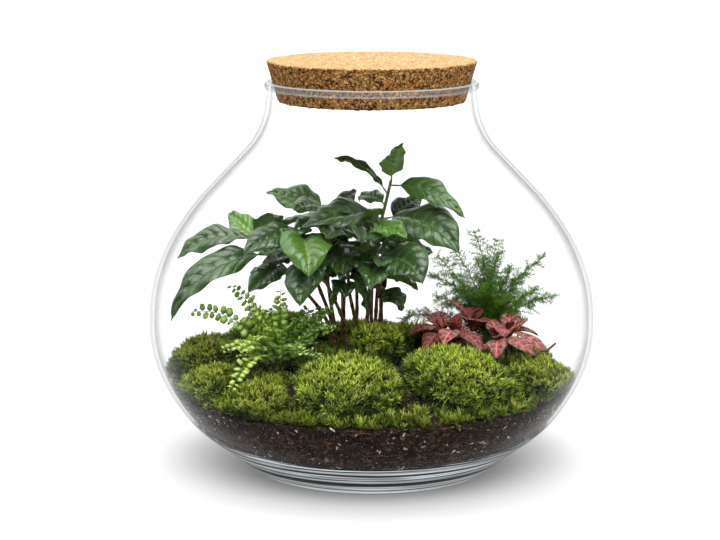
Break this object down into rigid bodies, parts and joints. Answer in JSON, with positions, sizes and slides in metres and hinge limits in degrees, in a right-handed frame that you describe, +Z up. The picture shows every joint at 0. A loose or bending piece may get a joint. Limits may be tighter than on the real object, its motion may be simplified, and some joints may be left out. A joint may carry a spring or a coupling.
{
  "type": "glass plant terrarium",
  "caption": "Round blown glass bowl with a tapered cork stopper, planted with coffee seedlings, fern, asparagus fern and nerve plants in soil under cushions of moss.",
  "frame": {"origin": "centre of the bowl's underside, on the surface that it stands on", "axes": "+Z up through the bowl and the cork, -Y towards the front, +X to the right"},
  "size_m": [0.3, 0.3, 0.276],
  "materials": {
    "glass": "clear blown glass, smooth",
    "cork": "pressed cork granules, matt",
    "soil": "damp potting soil with white perlite",
    "moss": "cushion moss, soft and matt",
    "coffee_leaf": "glossy quilted leaf",
    "fern_leaf": "satin leaflet",
    "asparagus_needle": "matt needle",
    "nerve_leaf": "satin leaf with a pink vein net"
  },
  "bodies": {
    "root": {"glass_vessel": "glass", "cork_stopper": "cork", "soil_bed": "soil", "moss_cushion_01": "moss", "moss_cushion_02": "moss", "moss_cushion_03": "moss", "moss_cushion_04": "moss", "moss_cushion_05": "moss", "moss_cushion_06": "moss", "moss_cushion_07": "moss", "moss_cushion_08": "moss", "moss_cushion_09": "moss", "moss_cushion_10": "moss", "moss_cushion_11": "moss", "moss_cushion_12": "moss", "coffee_seedling_01": "coffee_leaf", "coffee_seedling_02": "coffee_leaf", "coffee_seedling_03": "coffee_leaf", "coffee_seedling_04": "coffee_leaf", "coffee_seedling_05": "coffee_leaf", "coffee_seedling_06": "coffee_leaf", "coffee_seedling_07": "coffee_leaf", "coffee_seedling_08": "coffee_leaf", "coffee_seedling_09": "coffee_leaf", "coffee_seedling_10": "coffee_leaf", "coffee_seedling_11": "coffee_leaf", "coffee_seedling_12": "coffee_leaf", "coffee_seedling_13": "coffee_leaf", "fern_frond_01": "fern_leaf", "fern_frond_02": "fern_leaf", "fern_frond_03": "fern_leaf", "fern_frond_04": "fern_leaf", "fern_frond_05": "fern_leaf", "fern_frond_06": "fern_leaf", "fern_frond_07": "fern_leaf", "fern_frond_08": "fern_leaf", "fern_frond_09": "fern_leaf", "fern_frond_10": "fern_leaf", "fern_frond_11": "fern_leaf", "asparagus_spray_01": "asparagus_needle", "asparagus_spray_02": "asparagus_needle", "asparagus_spray_03": "asparagus_needle", "asparagus_spray_04": "asparagus_needle", "asparagus_spray_05": "asparagus_needle", "asparagus_spray_06": "asparagus_needle", "asparagus_spray_07": "asparagus_needle", "nerve_shoot_01": "nerve_leaf", "nerve_shoot_02": "nerve_leaf", "nerve_shoot_03": "nerve_leaf", "nerve_shoot_04": "nerve_leaf", "nerve_shoot_05": "nerve_leaf"}
  },
  "joints": []
}
